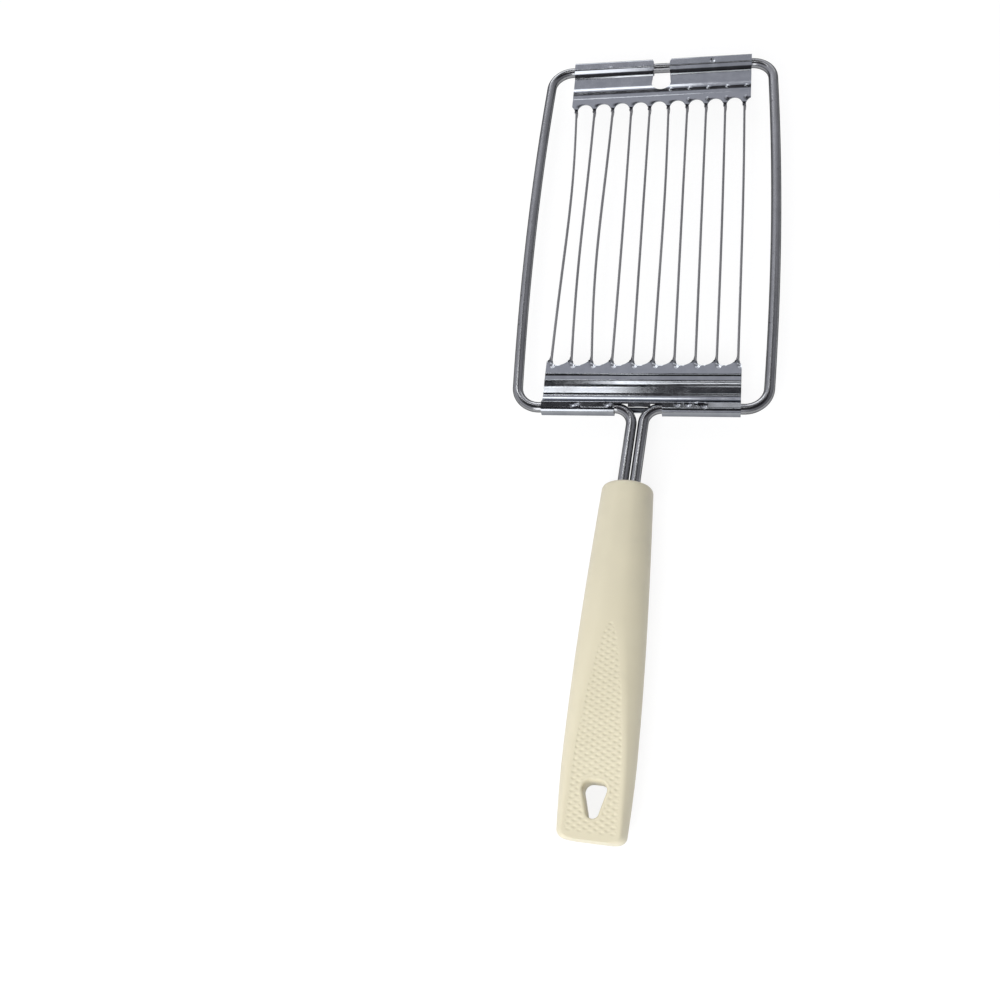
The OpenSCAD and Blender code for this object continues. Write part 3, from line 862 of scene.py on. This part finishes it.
def floor():
    """A pale floor that glows to the camera and in reflections, and still takes the shadow."""
    h = FLOOR_HALF
    mesh = bpy.data.meshes.new("floor")
    mesh.from_pydata([(-h, -h, 0), (h, -h, 0), (h, h, 0), (-h, h, 0)], [], [(0, 1, 2, 3)])
    obj = bpy.data.objects.new("floor", mesh)
    scene.collection.objects.link(obj)
    s = Shader("floor")
    s.set(Base_Color=(0.85, 0.85, 0.85, 1.0), Roughness=0.9, Specular_IOR_Level=0.0)
    path = s.add("ShaderNodeLightPath")
    seen = s.calc("ADD", path.outputs["Is Camera Ray"], path.outputs["Is Glossy Ray"])
    seen = s.calc("ADD", seen, path.outputs["Is Transmission Ray"])
    glow = s.add("ShaderNodeEmission")
    glow.inputs["Color"].default_value = (1.0, 1.0, 1.0, 1.0)
    glow.inputs["Strength"].default_value = FLOOR_GLOW
    blend = s.add("ShaderNodeMixShader")
    s.link(s.calc("MULTIPLY", seen, FLOOR_GLOW_SHARE), blend.inputs[0])
    s.link(s.bsdf.outputs["BSDF"], blend.inputs[1])
    s.link(glow.outputs[0], blend.inputs[2])
    s.link(blend.outputs[0], s.out.inputs["Surface"])
    mesh.materials.append(s.mat)


def sky():
    world = bpy.data.worlds.new("studio")
    scene.world = world
    world.use_nodes = True
    tree = world.node_tree
    coords = tree.nodes.new("ShaderNodeTexCoord")
    split = tree.nodes.new("ShaderNodeSeparateXYZ")
    tree.links.new(coords.outputs["Generated"], split.inputs[0])
    across = tree.nodes.new("ShaderNodeMapRange")
    across.inputs["From Min"].default_value = -1.0
    across.inputs["From Max"].default_value = 1.0
    tree.links.new(split.outputs["X"], across.inputs["Value"])

    def ramp(source, stops):
        return add_ramp(tree, source, [(at, (level, level, level * SKY_BLUE)) for at, level in stops])

    far = ramp(split.outputs["Z"], FAR_SKY)
    near = ramp(split.outputs["Z"], NEAR_SKY)
    depth = ramp(split.outputs["Y"], NEAR_TO_FAR)
    sides = ramp(across.outputs["Result"], LEFT_TO_RIGHT)
    room = add_mix(tree, 1.0, add_mix(tree, depth, near, far), sides, "MULTIPLY")
    tree.links.new(room, tree.nodes["Background"].inputs["Color"])


def softbox(name, place, size, radiance, target):
    light = bpy.data.lights.new(name, "AREA")
    light.shape = "RECTANGLE"
    light.size, light.size_y = size
    light.energy = radiance * math.pi * size[0] * size[1]
    obj = bpy.data.objects.new(name, light)
    scene.collection.objects.link(obj)
    obj.location = place
    obj.rotation_euler = (Vector(target) - Vector(place)).to_track_quat("-Z", "Y").to_euler()
    return obj


def card_above(name, x, y, size, radiance):
    """A light that faces straight down."""
    softbox(name, (x, y, CARD_Z), size, radiance, (x, y, 0.0))


def card_upright(name, x, y, z, size, radiance, aim_z):
    """A light in front of the slicer or behind it, which faces it at a height."""
    softbox(name, (x, y, z), size, radiance, (x, 0.0, aim_z))


def lights():
    """A soft fill, which reflections leave out, and the cards that the rails and the wire reflect."""
    fill = softbox("fill", (-0.1, -0.6, 0.6), (0.6, 0.6), 4.0, (0.0, -0.05, 0.0))
    fill.visible_glossy = False
    card_above("strip", -0.358, 0.522, (0.5, 0.075), 5.5)
    card_above("crest", -0.1, 0.11, (0.05, 0.22), 5.0)
    card_above("crest_right", 0.0, 0.12, (0.15, 0.07), 3.4)
    card_above("right_top", 0.045, 0.39, (0.115, 0.1), 1.5)
    card_upright("band", -0.55, 1.5, 0.66, (1.0, 0.64), 3.2, aim_z=0.55)
    card_upright("band_right", 0.5, 1.5, 0.62, (0.9, 0.56), 1.3, aim_z=0.55)
    card_upright("near_card", -0.31, -1.05, 0.56, (0.36, 0.9), 3.0, aim_z=0.3)


def camera():
    """The photo's camera, as fitted to the frame's corners, the blade roots and the handle's outline."""
    data = bpy.data.cameras.new("camera")
    data.sensor_width = CAMERA_SENSOR
    data.lens = CAMERA_LENS
    data.clip_start, data.clip_end = CAMERA_CLIP
    obj = bpy.data.objects.new("camera", data)
    scene.collection.objects.link(obj)
    obj.location = CAMERA_AT
    obj.rotation_euler = Euler([math.radians(a) for a in CAMERA_TURN], "XYZ")
    scene.camera = obj


floor()
sky()
lights()
camera()
scene.view_settings.view_transform = "Standard"
